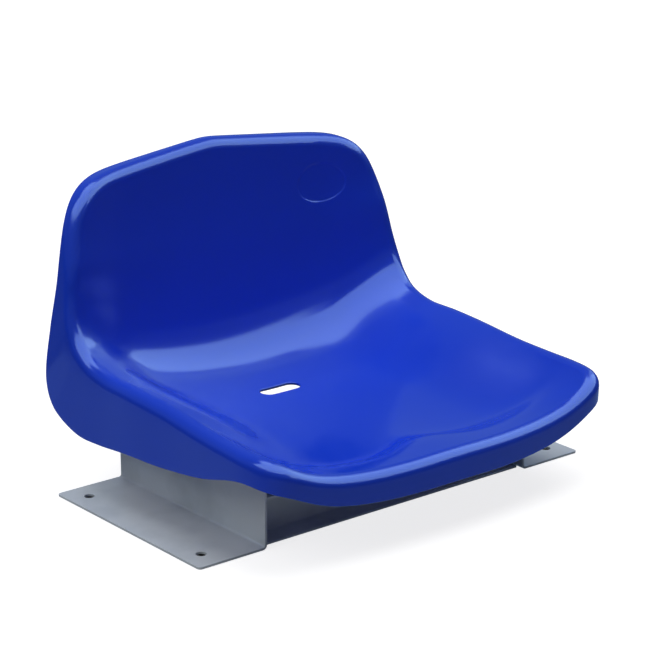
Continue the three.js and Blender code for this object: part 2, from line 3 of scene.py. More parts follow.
import bmesh
import bpy
import numpy as np
from mathutils import Euler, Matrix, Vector


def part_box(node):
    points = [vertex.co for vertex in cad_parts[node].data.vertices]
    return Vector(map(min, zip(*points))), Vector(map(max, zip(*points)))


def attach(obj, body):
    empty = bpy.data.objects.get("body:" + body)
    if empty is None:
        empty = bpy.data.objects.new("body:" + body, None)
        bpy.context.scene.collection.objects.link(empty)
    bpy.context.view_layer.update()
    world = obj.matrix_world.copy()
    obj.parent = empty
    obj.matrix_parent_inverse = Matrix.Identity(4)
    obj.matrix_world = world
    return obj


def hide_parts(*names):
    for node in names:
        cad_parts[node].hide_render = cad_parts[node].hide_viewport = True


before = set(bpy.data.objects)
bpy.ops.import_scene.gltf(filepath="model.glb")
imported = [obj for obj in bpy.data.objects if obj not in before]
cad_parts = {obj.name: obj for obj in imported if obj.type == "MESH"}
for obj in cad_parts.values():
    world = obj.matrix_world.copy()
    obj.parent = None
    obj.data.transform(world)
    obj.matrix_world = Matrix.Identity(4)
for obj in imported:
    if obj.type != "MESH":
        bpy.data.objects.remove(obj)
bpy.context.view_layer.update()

# Camera
# The photograph was taken with a long lens from the seat's front left, a little above its rim. The place is
# measured from the point on the floor between the two brackets' front ends.
camera_turn = radians(39.07)
camera_rise = radians(17.5)
camera_from_brackets = Vector((-1.4741, -1.6933, 0.9041))
focal_length_mm = 130.15


def add_object(name, data):
    """Puts a mesh, a camera or a lamp in the scene, at the origin."""
    thing = bpy.data.objects.new(name, data)
    bpy.context.collection.objects.link(thing)
    return thing


bracket_low, bracket_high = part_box("left_bracket")
bracket_front = Vector((0, bracket_low.y, 0))
camera_data = bpy.data.cameras.new("camera")
camera_data.lens = focal_length_mm
camera = add_object("camera", camera_data)
camera.location = bracket_front + camera_from_brackets
camera.rotation_euler = Euler((pi / 2 - camera_rise, 0, -camera_turn))
bpy.context.scene.camera = camera

# Floor brackets and rails
# Two Z-shaped brackets and two channel rails, cut and folded from 2.5 mm sheet steel, welded into one base
# and painted pale grey. The guillotined edges are broken a little, so each catches a thin line of light.
paint_hex = "#C8CED3"
paint_dust_hex = "#AEB5BB"
paint_roughness = 0.42
broken_edge = 0.0004
sharp_angle = radians(30)
flat_angle = radians(1)
merge_distance = 0.00001
orange_peel_mm = 1.6
dust_patch_mm = 70


def linear(colour_hex):
    """Turns an sRGB hex colour to the linear one that a shader takes."""
    shares = [int(colour_hex[i:i + 2], 16) / 255 for i in (1, 3, 5)]
    return [c / 12.92 if c <= 0.04045 else ((c + 0.055) / 1.055) ** 2.4 for c in shares] + [1]


def add_node(tree, kind, links=None, settings=None, **values):
    """Adds a node. Links and values are by the names of its inputs, with _ for a space in a value's name."""
    node = tree.nodes.new(kind)
    for name, setting in (settings or {}).items():
        setattr(node, name, setting)
    for name, source in (links or {}).items():
        tree.links.new(source, node.inputs[name])
    for name, value in values.items():
        node.inputs[name.replace("_", " ")].default_value = value
    return node


def new_material(name):
    """An empty node material with its tree and output."""
    material = bpy.data.materials.new(name)
    material.use_nodes = True
    tree = material.node_tree
    tree.nodes.clear()
    return material, tree, tree.nodes.new("ShaderNodeOutputMaterial")


def powder_coat(name, main_hex, dust_hex, roughness):
    """Polyester powder coat, sprayed dry and baked: satin, with a fine orange peel and a little dust."""
    material, tree, output = new_material(name)
    place = add_node(tree, "ShaderNodeTexCoord").outputs["Object"]
    dust = add_node(tree, "ShaderNodeTexNoise", {"Vector": place}, Scale=1000 / dust_patch_mm, Detail=5.0)
    dust_share = add_node(tree, "ShaderNodeMapRange", {"Value": dust.outputs["Fac"]},
                          From_Min=0.45, From_Max=0.8)
    colour = add_node(tree, "ShaderNodeMix", {"Factor": dust_share.outputs["Result"]},
                      {"data_type": "RGBA"})
    for socket, value in ((colour.inputs[6], main_hex), (colour.inputs[7], dust_hex)):
        socket.default_value = linear(value)
    matt = add_node(tree, "ShaderNodeMapRange", {"Value": dust_share.outputs["Result"]},
                    To_Min=roughness, To_Max=roughness + 0.12)
    peel = add_node(tree, "ShaderNodeTexNoise", {"Vector": place}, Scale=1000 / orange_peel_mm, Detail=2.0)
    bump = add_node(tree, "ShaderNodeBump", {"Height": peel.outputs["Fac"]}, Strength=0.12, Distance=0.0002)
    shader = add_node(tree, "ShaderNodeBsdfPrincipled",
                      {"Base Color": colour.outputs[2], "Roughness": matt.outputs["Result"],
                       "Normal": bump.outputs["Normal"]}, IOR=1.5)
    tree.links.new(shader.outputs["BSDF"], output.inputs["Surface"])
    return material


def merged_shape(node):
    """A node's shape, with its doubled points merged and its flat faces joined."""
    shape = bmesh.new()
    shape.from_mesh(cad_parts[node].data)
    bmesh.ops.remove_doubles(shape, verts=shape.verts, dist=merge_distance)
    bmesh.ops.dissolve_limit(shape, angle_limit=flat_angle, verts=shape.verts, edges=shape.edges)
    return shape


def smooth_mesh(name, shape):
    """The shape as a mesh, shaded smooth between its sharp edges."""
    mesh = bpy.data.meshes.new(name)
    shape.to_mesh(mesh)
    shape.free()
    mesh.shade_smooth()
    mesh.set_sharp_from_angle(angle=sharp_angle)
    return mesh


base_paint = powder_coat("grey_powder_coat", paint_hex, paint_dust_hex, paint_roughness)
for node in ("left_bracket", "right_bracket", "front_rail", "rear_rail"):
    sheet_mesh = smooth_mesh(f"{node}_sheet", merged_shape(node))
    sheet_mesh.materials.append(base_paint)
    sheet = add_object(f"{node}_sheet", sheet_mesh)
    bevel = sheet.modifiers.new("broken edges", "BEVEL")
    bevel.width = broken_edge
    bevel.segments = 2
    bevel.limit_method = "ANGLE"
    bevel.angle_limit = sharp_angle
    bevel.harden_normals = True
    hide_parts(node)
    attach(sheet, "root")

# Weld beads
# A fillet weld runs up each end of a rail's web and along its lower flange, laid by hand in small overlapping
# steps and painted over with the base. Each bead is a rippled tube that beds into the corner it fills.
weld_hex = "#8E979C"
weld_dust_hex = "#7F868A"
weld_roughness = 0.5
ripple_pitch = 0.0016
ripple_depth_share = 0.16
ripple_steps = 5
bead_radius_share = 0.62
bead_bed_share = 0.36


def weld_ripple_tree():
    """Sweeps a round section along the object's edge, swelling and shrinking once each ripple."""
    tree = bpy.data.node_groups.new("weld ripples", "GeometryNodeTree")
    face = tree.interface
    face.new_socket("Geometry", in_out="INPUT", socket_type="NodeSocketGeometry")
    for name in ("Bead radius", "Ripple pitch", "Ripple depth share", "Step"):
        face.new_socket(name, in_out="INPUT", socket_type="NodeSocketFloat")
    face.new_socket("Paint", in_out="INPUT", socket_type="NodeSocketMaterial")
    face.new_socket("Geometry", in_out="OUTPUT", socket_type="NodeSocketGeometry")
    given = add_node(tree, "NodeGroupInput").outputs
    path = add_node(tree, "GeometryNodeMeshToCurve", {"Mesh": given["Geometry"]})
    fine = add_node(tree, "GeometryNodeResampleCurve",
                    {"Curve": path.outputs["Curve"], "Length": given["Step"]}, {"mode": "LENGTH"})
    run = add_node(tree, "GeometryNodeSplineParameter").outputs["Length"]
    steps = add_node(tree, "ShaderNodeMath", settings={"operation": "DIVIDE"})
    tree.links.new(run, steps.inputs[0])
    tree.links.new(given["Ripple pitch"], steps.inputs[1])
    ramp = add_node(tree, "ShaderNodeMath", settings={"operation": "FRACT"})
    tree.links.new(steps.outputs[0], ramp.inputs[0])
    uneven = add_node(tree, "ShaderNodeTexNoise", {"W": steps.outputs[0]}, {"noise_dimensions": "1D"},
                      Scale=0.7)
    both = add_node(tree, "ShaderNodeMath", settings={"operation": "ADD"})
    tree.links.new(ramp.outputs[0], both.inputs[0])
    tree.links.new(uneven.outputs["Fac"], both.inputs[1])
    dip = add_node(tree, "ShaderNodeMath", settings={"operation": "MULTIPLY"})
    tree.links.new(both.outputs[0], dip.inputs[0])
    tree.links.new(given["Ripple depth share"], dip.inputs[1])
    swell = add_node(tree, "ShaderNodeMath", settings={"operation": "SUBTRACT"})
    swell.inputs[0].default_value = 1
    tree.links.new(dip.outputs[0], swell.inputs[1])
    section = add_node(tree, "GeometryNodeCurvePrimitiveCircle", {"Radius": given["Bead radius"]},
                       Resolution=14)
    bead = add_node(tree, "GeometryNodeCurveToMesh",
                    {"Curve": fine.outputs["Curve"], "Profile Curve": section.outputs["Curve"],
                     "Scale": swell.outputs[0]}, Fill_Caps=True)
    smooth = add_node(tree, "GeometryNodeSetShadeSmooth", {"Geometry": bead.outputs["Mesh"]})
    whole = add_node(tree, "GeometryNodeRealizeInstances", {"Geometry": smooth.outputs["Geometry"]})
    painted = add_node(tree, "GeometryNodeSetMaterial",
                       {"Geometry": whole.outputs["Geometry"], "Material": given["Paint"]})
    result = add_node(tree, "NodeGroupOutput")
    tree.links.new(painted.outputs["Geometry"], result.inputs["Geometry"])
    return tree


def grown(name, mesh, tree, **inputs):
    """Runs a geometry tree on a mesh and gives back its plain result as an object."""
    source = add_object(f"{name}_source", mesh)
    modifier = source.modifiers.new("grow", "NODES")
    modifier.node_group = tree
    sockets = {item.name: item.identifier for item in tree.interface.items_tree
               if item.item_type == "SOCKET" and item.in_out == "INPUT"}
    for label, value in inputs.items():
        modifier[sockets[label.replace("_", " ")]] = value
    graph = bpy.context.evaluated_depsgraph_get()
    result = bpy.data.meshes.new_from_object(source.evaluated_get(graph))
    result.name = name
    bpy.data.objects.remove(source)
    return add_object(name, result)


def bead_ends(box, kind, corner_x, corner_y):
    """Both ends of a bead's middle line: up the web, or along the lower flange from front to rear."""
    low, high = box
    bed = bead_bed_share * (high.x - low.x)
    x = box[corner_x].x + bed * (1 - 2 * corner_x)
    if kind == "web":
        y = box[corner_y].y + bed * (1 - 2 * corner_y)
        return [(x, y, low.z + bed), (x, y, high.z - bed)]
    z = low.z + bed
    return [(x, low.y + bed, z), (x, high.y - bed, z)]


weld_paint = powder_coat("painted_weld", weld_hex, weld_dust_hex, weld_roughness)
ripples = weld_ripple_tree()
for side_name, corner_x in (("left", 0), ("right", 1)):
    for end_name, corner_y in (("front", 0), ("rear", 1)):
        for kind in ("web", "flange"):
            node = f"{side_name}_{end_name}_{kind}_weld"
            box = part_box(node)
            path = bpy.data.meshes.new(node)
            path.from_pydata(bead_ends(box, kind, corner_x, corner_y), [(0, 1)], [])
            bead = grown(f"{node}_bead", path, ripples,
                         Bead_radius=bead_radius_share * (box[1].x - box[0].x), Ripple_pitch=ripple_pitch,
                         Ripple_depth_share=ripple_depth_share, Step=ripple_pitch / ripple_steps,
                         Paint=weld_paint)
            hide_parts(node)
            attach(bead, "root")

# Seat shell
# One injection moulding in royal blue polypropylene, 4 mm thick, with a rolled rim, deep side skirts and a
# drain slot. Its surface is drawn through stations from the front lip to the top edge, as shares of its depth
# and rise.
shell_width = 0.454
shell_depth = 0.427
shell_rise = 0.262
shell_wall = 0.004
rim_radius = 0.012
station_shares = np.array([
    # pan back, up; rim out, back, up; skirt back, up
    [-0.475, 0.037, 0.972, -0.446, 0.209, 0.006, -0.1],
    [-0.363, 0.036, 0.97, -0.327, 0.203, -0.01, -0.106],
    [-0.211, 0.036, 0.97, -0.187, 0.219, -0.01, -0.18],
    [-0.059, 0.038, 0.972, -0.047, 0.245, 0, -0.24],
    [0.082, 0.04, 0.975, 0.077, 0.258, 0.016, -0.266],
    [0.199, 0.044, 0.972, 0.176, 0.264, 0.035, -0.29],
    [0.288, 0.067, 0.976, 0.251, 0.294, 0.06, -0.314],
    [0.351, 0.137, 0.985, 0.295, 0.345, 0.105, -0.298],
    [0.382, 0.248, 0.985, 0.321, 0.417, 0.112, -0.26],
    [0.403, 0.401, 0.966, 0.337, 0.519, 0.083, -0.15],
    [0.419, 0.573, 0.943, 0.347, 0.637, 0.048, -0.04],
    [0.433, 0.752, 0.92, 0.366, 0.785, 0.04, 0],
    [0.445, 0.972, 0.89, 0.375, 1, 0.07, 0],
])
front_skirt_share = (0.002, -0.124)
top_skirt_share = (0.042, 0)
front_corner_power = 22
top_corner_power = 9.5
top_fall_share = 0.064
top_fall_softness_share = 0.05
top_fall_power = 4
front_dish_power = 5
pan_flat_share, back_flat_share = 0.45, 0.62
pan_bow_share, back_bow_share = 0.6, 0.75
pan_blend_shares = (-1, -0.5)
back_blend_shares = (-0.2, 0.3)
lip_rise = 0.0135
lip_reach = 0.036
lip_softness = 0.007
pommel_width = 0.09
pommel_reach = 0.024
pommel_rise = 0.0015
slot_length = 0.05
slot_width = 0.0185
slot_behind_middle = 0.0748
slot_lip, slot_under_lip = 0.0012, 0.0027
slot_lip_margin = 0.001
slot_window_shares = (0.68, 1.25)
recess_width = 0.06
recess_height = 0.044
recess_depth = 0.0006
recess_place_share = 0.825
recess_out_share = 0.69
recess_window_shares = (0.62, 0.66)
# the recess's soft step and floor: ways out from its outline, and shares of its depth
recess_step_mm = (1.2, 0.6, 0, -0.8, -1.6, -2.4, -8, -14, -19)
recess_drop_shares = (0, 0.05, 0.3, 0.75, 0.96, 1, 1, 1, 1)
window_loop_shares = (0.35, 0.65, 0.85)
skirt_row_shares = (0.25, 0.5, 0.75, 0.96, 1)
edge_radius = 0.0012
shell_sharp_angle = radians(38)
length_steps = 220
width_steps = 160
roll_steps = 8
lip_steps = 4
edge_steps = 3
pan_end_place = 0.3
table_places = 2000
halvings = 30

base_top = bracket_high.z
base_middle = (bracket_low.y + bracket_high.y) / 2
PAN_BACK, PAN_UP, RIM_OUT, RIM_BACK, RIM_UP, SKIRT_BACK, SKIRT_UP = range(7)


def along(column, place):
    """Smooth curve through a column of the station shares; place runs from -1, front, to 1, top."""
    shares = station_shares[:, column]
    ends = np.concatenate([[2 * shares[0] - shares[1]], shares, [2 * shares[-1] - shares[-2]]])
    scaled = (np.asarray(place) + 1) / 2 * (len(shares) - 1)
    start = np.clip(np.floor(scaled).astype(int), 0, len(shares) - 2)
    t = scaled - start
    before, first, second, after = (ends[start + k] for k in range(4))
    slope_in = (second - before) / 2
    slope_out = (after - first) / 2
    rise = second - first
    return first + t * (slope_in + t * (3 * rise - 2 * slope_in - slope_out
                                        + t * (slope_in + slope_out - 2 * rise)))


def blend(value, ends):
    """Rises smoothly from 0 to 1 between the ends."""
    t = np.clip((value - ends[0]) / (ends[1] - ends[0]), 0, 1)
    return t * t * (3 - 2 * t)


def side_turn(place, out):
    """How far the surface has turned to its rim: flat in the middle, hollow beside it, rounded at the rim."""
    backness = blend(place, back_blend_shares)
    flat = pan_flat_share + (back_flat_share - pan_flat_share) * backness
    bow = pan_bow_share + (back_bow_share - pan_bow_share) * backness
    t = np.clip((np.abs(out) - flat) / (1 - flat), 0, 1)
    wall = t ** 3 * (10 - 15 * t + 6 * t * t)
    return bow * out ** 2 + (1 - bow) * wall


def surface(place, out):
    """Points of the sitting surface: out runs from -1, left rim, to 1, right rim."""
    place, out = np.asarray(place, float), np.asarray(out, float)
    pan_back, pan_up = shell_depth * along(PAN_BACK, place), shell_rise * along(PAN_UP, place)
    rim_back, rim_up = shell_depth * along(RIM_BACK, place), shell_rise * along(RIM_UP, place)
    x = out * (shell_width / 2 - rim_radius) * along(RIM_OUT, place)
    behind_lip = pan_back - shell_depth * station_shares[0, PAN_BACK]
    pommel = np.exp(-(2 * x / pommel_width) ** 2)
    reach = lip_reach + pommel_reach * pommel
    pan_up = pan_up + (lip_rise + pommel_rise * pommel) / (1 + np.exp((behind_lip - reach) / lip_softness))
    side = side_turn(place, out)
    front_up = np.abs(out) ** front_dish_power
    front_forward = 1 - (1 - out ** 2) ** 2
    turn_up = front_up + (side - front_up) * blend(place, pan_blend_shares)
    turn_forward = front_forward + (side - front_forward) * blend(place, back_blend_shares)
    y = pan_back + turn_forward * (rim_back - pan_back)
    z = base_top + pan_up + turn_up * (rim_up - pan_up)
    return np.stack([x, y + base_middle, z], -1)


def unit(vectors):
    return vectors / np.linalg.norm(vectors, axis=-1, keepdims=True)


def surface_normal(place, out):
    """Unit normals of the sitting surface, towards the sitter."""
    step = 1e-4
    upward = surface(place + step, out) - surface(place - step, out)
    across = surface(place, out + step) - surface(place, out - step)
    return unit(np.cross(across, upward))


def grid_shares(steps):
    """Even in the middle and closer near the rim."""
    even = np.linspace(-1, 1, steps + 1)
    return (even + np.sin(even * pi / 2)) / 2


def rounded(u, v):
    """Draws the grid's corners in to the outline's round corners, and the top edge down to its sides."""
    reach = np.maximum(np.abs(u), np.abs(v))
    ratio = np.minimum(np.abs(u), np.abs(v)) / np.maximum(reach, 1e-9)
    power = np.where(u < 0, front_corner_power, top_corner_power)
    shrink = 1 - (1 - (1 + ratio ** power) ** (-1 / power)) * reach ** power
    place, out = u * shrink, v * shrink
    soft = top_fall_softness_share
    slope = (np.sqrt(out ** 2 + soft ** 2) - soft) / (sqrt(1 + soft ** 2) - soft)
    return place - top_fall_share * np.maximum(place, 0) ** top_fall_power * slope, out


class LoopMesh:
    """Points and faces of one piece, gathered loop by loop."""

    def __init__(self):
        self.points = []
        self.faces = []

    def add_points(self, points):
        """Adds points and gives back their numbers, laid out as the points are."""
        flat = np.asarray(points).reshape(-1, 3)
        first = len(self.points)
        self.points.extend(map(tuple, flat))
        return np.arange(first, len(self.points)).reshape(np.asarray(points).shape[:-1])

    def add_quad(self, a, b, c, d, flip=False):
        self.faces.append((a, d, c, b) if flip else (a, b, c, d))

    def join_loops(self, first, second, flip=False):
        """Quads between two closed loops of as many points."""
        for corners in zip(first, second, np.roll(second, -1), np.roll(first, -1)):
            self.add_quad(*corners, flip)

    def add_loops(self, last, loops, flip=False):
        """Joins each loop of points to the one before, and gives back the numbers of the last."""
        for points in loops:
            here = self.add_points(points)
            self.join_loops(last, here, flip)
            last = here
        return last

    def as_mesh(self, name, angle):
        """What was gathered as a mesh, shaded smooth but for edges sharper than the angle."""
        mesh = bpy.data.meshes.new(name)
        mesh.from_pydata(self.points, [], [tuple(map(int, face)) for face in self.faces])
        mesh.shade_smooth()
        mesh.set_sharp_from_angle(angle=angle)
        return mesh


def rim_frames():
    """At each point of the outline: its place, the way outwards and the way down the skirt."""
    u_side, v_side = grid_shares(length_steps), grid_shares(width_steps)
    rows = np.concatenate([np.zeros(width_steps), np.arange(length_steps), np.full(width_steps, length_steps),
                           np.arange(length_steps, 0, -1)]).astype(int)
    columns = np.concatenate([np.arange(width_steps), np.full(length_steps, width_steps),
                              np.arange(width_steps, 0, -1), np.zeros(length_steps)]).astype(int)
    place, out = rounded(u_side[rows], v_side[columns])
    at = surface(place, out)
    outward = unit(np.cross(unit(np.roll(at, -1, 0) - np.roll(at, 1, 0)), surface_normal(place, out)))
    front = place < 0
    middle_back = np.where(front, front_skirt_share[0], top_skirt_share[0])
    middle_up = np.where(front, front_skirt_share[1], top_skirt_share[1])
    back = shell_depth * (middle_back + out ** 2 * (along(SKIRT_BACK, place) - middle_back))
    up = shell_rise * (middle_up + out ** 2 * (along(SKIRT_UP, place) - middle_up))
    skirt = np.stack([np.zeros_like(back), back, up], -1)
    depth = np.linalg.norm(skirt, axis=1)
    down = skirt / depth[:, None]
    inward = unit(down - (down * outward).sum(1, keepdims=True) * outward)
    turn = np.arccos(np.clip((outward * down).sum(1), -1, 1))
    straight = np.maximum(depth - rim_radius * np.sin(turn), shell_wall)
    return {"rows": rows, "columns": columns, "at": at, "outward": outward, "inward": inward,
            "down": down, "turn": turn, "straight": straight}


def rim_point(rim, radius, share):
    angle = (rim["turn"] * share)[:, None]
    return (rim["at"] + rim_radius * rim["inward"] + radius * np.sin(angle) * rim["outward"]
            - radius * np.cos(angle) * rim["inward"])


def stadium(shares, length, width):
    """Outline of a slot with round ends, by the share of each quarter that is gone through."""
    quarter = np.floor(shares).astype(int) % 4
    part = shares - np.floor(shares)
    part = np.where(quarter % 2 == 0, part, 1 - part)
    arc = pi / 2 * width / 2
    straight = (length - width) / 2
    gone = part * (arc + straight)
    angle = np.minimum(gone / (width / 2), pi / 2)
    x = (length - width) / 2 - np.maximum(gone - arc, 0) + width / 2 * np.cos(angle)
    y = width / 2 * np.sin(angle)
    left, low = (quarter == 1) | (quarter == 2), quarter > 1
    return np.stack([np.where(left, -x, x), np.where(low, -y, y)], -1)


def oval(shares, length, width):
    angle = shares * pi / 2
    return np.stack([length / 2 * np.cos(angle), width / 2 * np.sin(angle)], -1)


class Window:
    """A rectangle of the grid that is taken out and meshed again in loops round an outline."""

    def __init__(self, place, out, centre, half_size):
        step = 1e-3
        self.centre = centre
        across = surface(centre[0], centre[1] + step) - surface(centre[0], centre[1] - step)
        upward = surface(centre[0] + step, centre[1]) - surface(centre[0] - step, centre[1])
        self.rates = np.array([np.linalg.norm(across), np.linalg.norm(upward)]) / (2 * step)
        middle_row = np.abs(place[:, 0] - centre[0]).argmin()
        middle_column = np.abs(out[middle_row] - centre[1]).argmin()
        near_column = np.abs((out[middle_row] - centre[1]) * self.rates[0]) < half_size[0]
        near_row = np.abs((place[:, middle_column] - centre[0]) * self.rates[1]) < half_size[1]
        self.i0, self.i1 = np.flatnonzero(near_row)[[0, -1]]
        self.j0, self.j1 = np.flatnonzero(near_column)[[0, -1]]
        bottom = [(self.i0, j) for j in range(self.j0, self.j1)]
        right = [(i, self.j1) for i in range(self.i0, self.i1)]
        top = [(self.i1, j) for j in range(self.j1, self.j0, -1)]
        left = [(i, self.j0) for i in range(self.i1, self.i0, -1)]
        self.loop = np.array(bottom + right + top + left)
        edge_place = place[self.loop[:, 0], self.loop[:, 1]]
        edge_out = out[self.loop[:, 0], self.loop[:, 1]]
        self.edge = np.stack([edge_out - centre[1], edge_place - centre[0]], -1) * self.rates
        reach_right, reach_left = self.edge[:, 0].max(), -self.edge[:, 0].min()
        reach_up, reach_down = self.edge[:, 1].max(), -self.edge[:, 1].min()
        across = self.edge[:, 0] / np.where(self.edge[:, 0] > 0, reach_right, reach_left)
        upward = self.edge[:, 1] / np.where(self.edge[:, 1] > 0, reach_up, reach_down)
        self.quarters = (np.arctan2(upward, across) / (pi / 2)) % 4

    def holds(self, i, j):
        return self.i0 <= i < self.i1 and self.j0 <= j < self.j1

    def lifted(self, flat, drop):
        """Points on the surface from flat places in metres round the centre, dropped along the normal."""
        place = self.centre[0] + flat[:, 1] / self.rates[1]
        out = self.centre[1] + flat[:, 0] / self.rates[0]
        return surface(place, out) - drop * surface_normal(place, out)

    def loops(self, outline, size, profile):
        """Loops from the window's edge in to the outline, then along the profile of (way out, drop)."""
        first_out = profile[0][0]
        start = outline(self.quarters, size[0] + 2 * first_out, size[1] + 2 * first_out)
        points = [self.lifted(self.edge + (start - self.edge) * share, profile[0][1])
                  for share in window_loop_shares]
        for way_out, drop in profile:
            flat = outline(self.quarters, size[0] + 2 * way_out, size[1] + 2 * way_out)
            points.append(self.lifted(flat, drop))
        return points

    def add_to(self, made, numbers, outline, size, profile, flip=False):
        """Fills the window with its loops, and gives back the last of them."""
        grid_edge = numbers[self.loop[:, 0], self.loop[:, 1]]
        return made.add_loops(grid_edge, self.loops(outline, size, profile), flip)


def place_at(back):
    """Place of a point of the middle line, by its way behind the base's middle."""
    places = np.linspace(-1, pan_end_place, table_places)
    backs = shell_depth * along(PAN_BACK, places)
    return float(np.interp(back, backs, places))


def add_skin(made, rim, place, out, inset, windows, flip):
    """One side of the wall as a grid with its windows left out, set in from the sitting surface."""
    points = surface(place, out) - inset * surface_normal(place, out)
    points[rim["rows"], rim["columns"]] = rim_point(rim, rim_radius - inset, 0)
    numbers = made.add_points(points)
    for i in range(length_steps):
        for j in range(width_steps):
            if any(window.holds(i, j) for window in windows):
                continue
            near, far = numbers[i], numbers[i + 1]
            made.add_quad(near[j], near[j + 1], far[j + 1], far[j], flip)
    return numbers


def slot_profile(inset, flip):
    """The slot's rounded edge on one side of the wall, as (way out, drop)."""
    radius = slot_under_lip if flip else slot_lip
    side = -1 if flip else 1
    lip = [(radius * (1 - sin(angle)), inset + side * radius * (1 - cos(angle)))
           for angle in np.linspace(0, pi / 2, lip_steps + 1)]
    return [(radius + slot_lip_margin, inset)] + lip


def add_skirt(made, rim, numbers, inset, flip):
    """The rolled rim, the skirt and half of its rounded edge, on one side of the wall."""
    roll = [rim_point(rim, rim_radius - inset, step / roll_steps) for step in range(1, roll_steps + 1)]
    straight = (rim["straight"] - edge_radius)[:, None] * rim["down"]
    fall = [roll[-1] + straight * share for share in skirt_row_shares]
    away = unit(rim_point(rim, rim_radius, 1) - rim_point(rim, rim_radius - shell_wall, 1))
    side = -1 if flip else 1
    edge = []
    for angle in np.linspace(0, pi / 2, edge_steps + 1)[1:]:
        sunk = roll[-1] + straight + edge_radius * sin(angle) * rim["down"]
        edge.append(sunk - side * edge_radius * (1 - cos(angle)) * away)
    return made.add_loops(numbers[rim["rows"], rim["columns"]], roll + fall + edge, not flip)


def shell_moulding():
    """The shell's two skins with rolled rim, skirt, drain slot and oval recess, as one closed mesh."""
    made = LoopMesh()
    u, v = np.meshgrid(grid_shares(length_steps), grid_shares(width_steps), indexing="ij")
    place, out = rounded(u, v)
    rim = rim_frames()
    slot_size = np.array([slot_length, slot_width])
    slot_window = Window(place, out, (place_at(slot_behind_middle), 0), slot_size * slot_window_shares)
    recess_size = np.array([recess_width, recess_height])
    recess_window = Window(place, out, (recess_place_share, recess_out_share),
                           recess_size * recess_window_shares)
    recess_profile = [(step_mm / 1000, recess_depth * share)
                      for step_mm, share in zip(recess_step_mm, recess_drop_shares)]
    ends = []
    for inset, flip in ((0, False), (shell_wall, True)):
        windows = [slot_window] if flip else [slot_window, recess_window]
        numbers = add_skin(made, rim, place, out, inset, windows, flip)
        slot_end = slot_window.add_to(made, numbers, stadium, slot_size, slot_profile(inset, flip), flip)
        if not flip:
            floor_edge = recess_window.add_to(made, numbers, oval, recess_size, recess_profile)
            made.faces.append(tuple(floor_edge))
        ends.append((slot_end, add_skirt(made, rim, numbers, inset, flip)))
    (outer_slot, outer_edge), (inner_slot, inner_edge) = ends
    made.join_loops(outer_slot, inner_slot)
    made.join_loops(outer_edge, inner_edge, True)
    return made


# Royal blue polypropylene: a glossy moulding straight from a polished tool. The eye sees clear soft-edged
# reflections, a faint waviness where the wall cooled, and rubbing marks where people sit and brush past. The
# marks are drawn coarser than they are, so that they show.
shell_hex = "#0C38CC"
shell_deep_hex = "#0A33C0"
wave_mm = 38
flow_mm = 160
rub_mm = 3


def blue_polypropylene():
    material, tree, output = new_material("royal_blue_polypropylene")
    place = add_node(tree, "ShaderNodeTexCoord").outputs["Object"]
    flow = add_node(tree, "ShaderNodeTexNoise", {"Vector": place}, Scale=1000 / flow_mm, Detail=3.0)
    colour = add_node(tree, "ShaderNodeMix", {"Factor": flow.outputs["Fac"]}, {"data_type": "RGBA"})
    colour.inputs[6].default_value = linear(shell_hex)
    colour.inputs[7].default_value = linear(shell_deep_hex)
    stretched = add_node(tree, "ShaderNodeMapping", {"Vector": place}, Scale=(1.0, 0.25, 1.0))
    rub = add_node(tree, "ShaderNodeTexNoise", {"Vector": stretched.outputs["Vector"]},
                   Scale=1000 / rub_mm, Detail=4.0, Roughness=0.65)
    gloss = add_node(tree, "ShaderNodeMapRange", {"Value": rub.outputs["Fac"]},
                     From_Min=0.3, From_Max=0.75, To_Min=0.13, To_Max=0.2)
    wave = add_node(tree, "ShaderNodeTexNoise", {"Vector": place}, Scale=1000 / wave_mm, Detail=1.0)
    bump = add_node(tree, "ShaderNodeBump", {"Height": wave.outputs["Fac"]}, Strength=0.25, Distance=0.0006)
    shader = add_node(tree, "ShaderNodeBsdfPrincipled",
                      {"Base Color": colour.outputs[2], "Roughness": gloss.outputs["Result"],
                       "Normal": bump.outputs["Normal"]}, IOR=1.49)
    tree.links.new(shader.outputs["BSDF"], output.inputs["Surface"])
    return material


# Bosses and ribs under the pan: round posts that hold the threaded inserts, and a thin rib along each side
clearance = 0.0003
boss_radius = 0.0108
boss_hole_radius = 0.0058
boss_hole_depth = 0.0133
boss_chamfer = 0.0005
boss_sides = 48
rib_width = 0.003
rib_rise = 0.008
rib_half_length = 0.105
rib_chamfer = 0.0004
rib_steps = 59
bolt_boxes = [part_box(f"{side}_{end}_bolt") for side in ("left", "right") for end in ("front", "rear")]
bolt_places = [(low + high) / 2 for low, high in bolt_boxes]
boss_bottom = base_top + clearance


def pan_height(x, y):
    """Height of the sitting surface above a point of the plan, found by halving."""
    low, high = np.full(np.shape(x), -1.0), np.full(np.shape(x), pan_end_place)
    for _ in range(halvings):
        middle = (low + high) / 2
        half_width = (shell_width / 2 - rim_radius) * along(RIM_OUT, middle)
        short = surface(middle, x / half_width)[..., 1] < y
        low, high = np.where(short, middle, low), np.where(short, high, middle)
    return surface(middle, x / half_width)[..., 2]


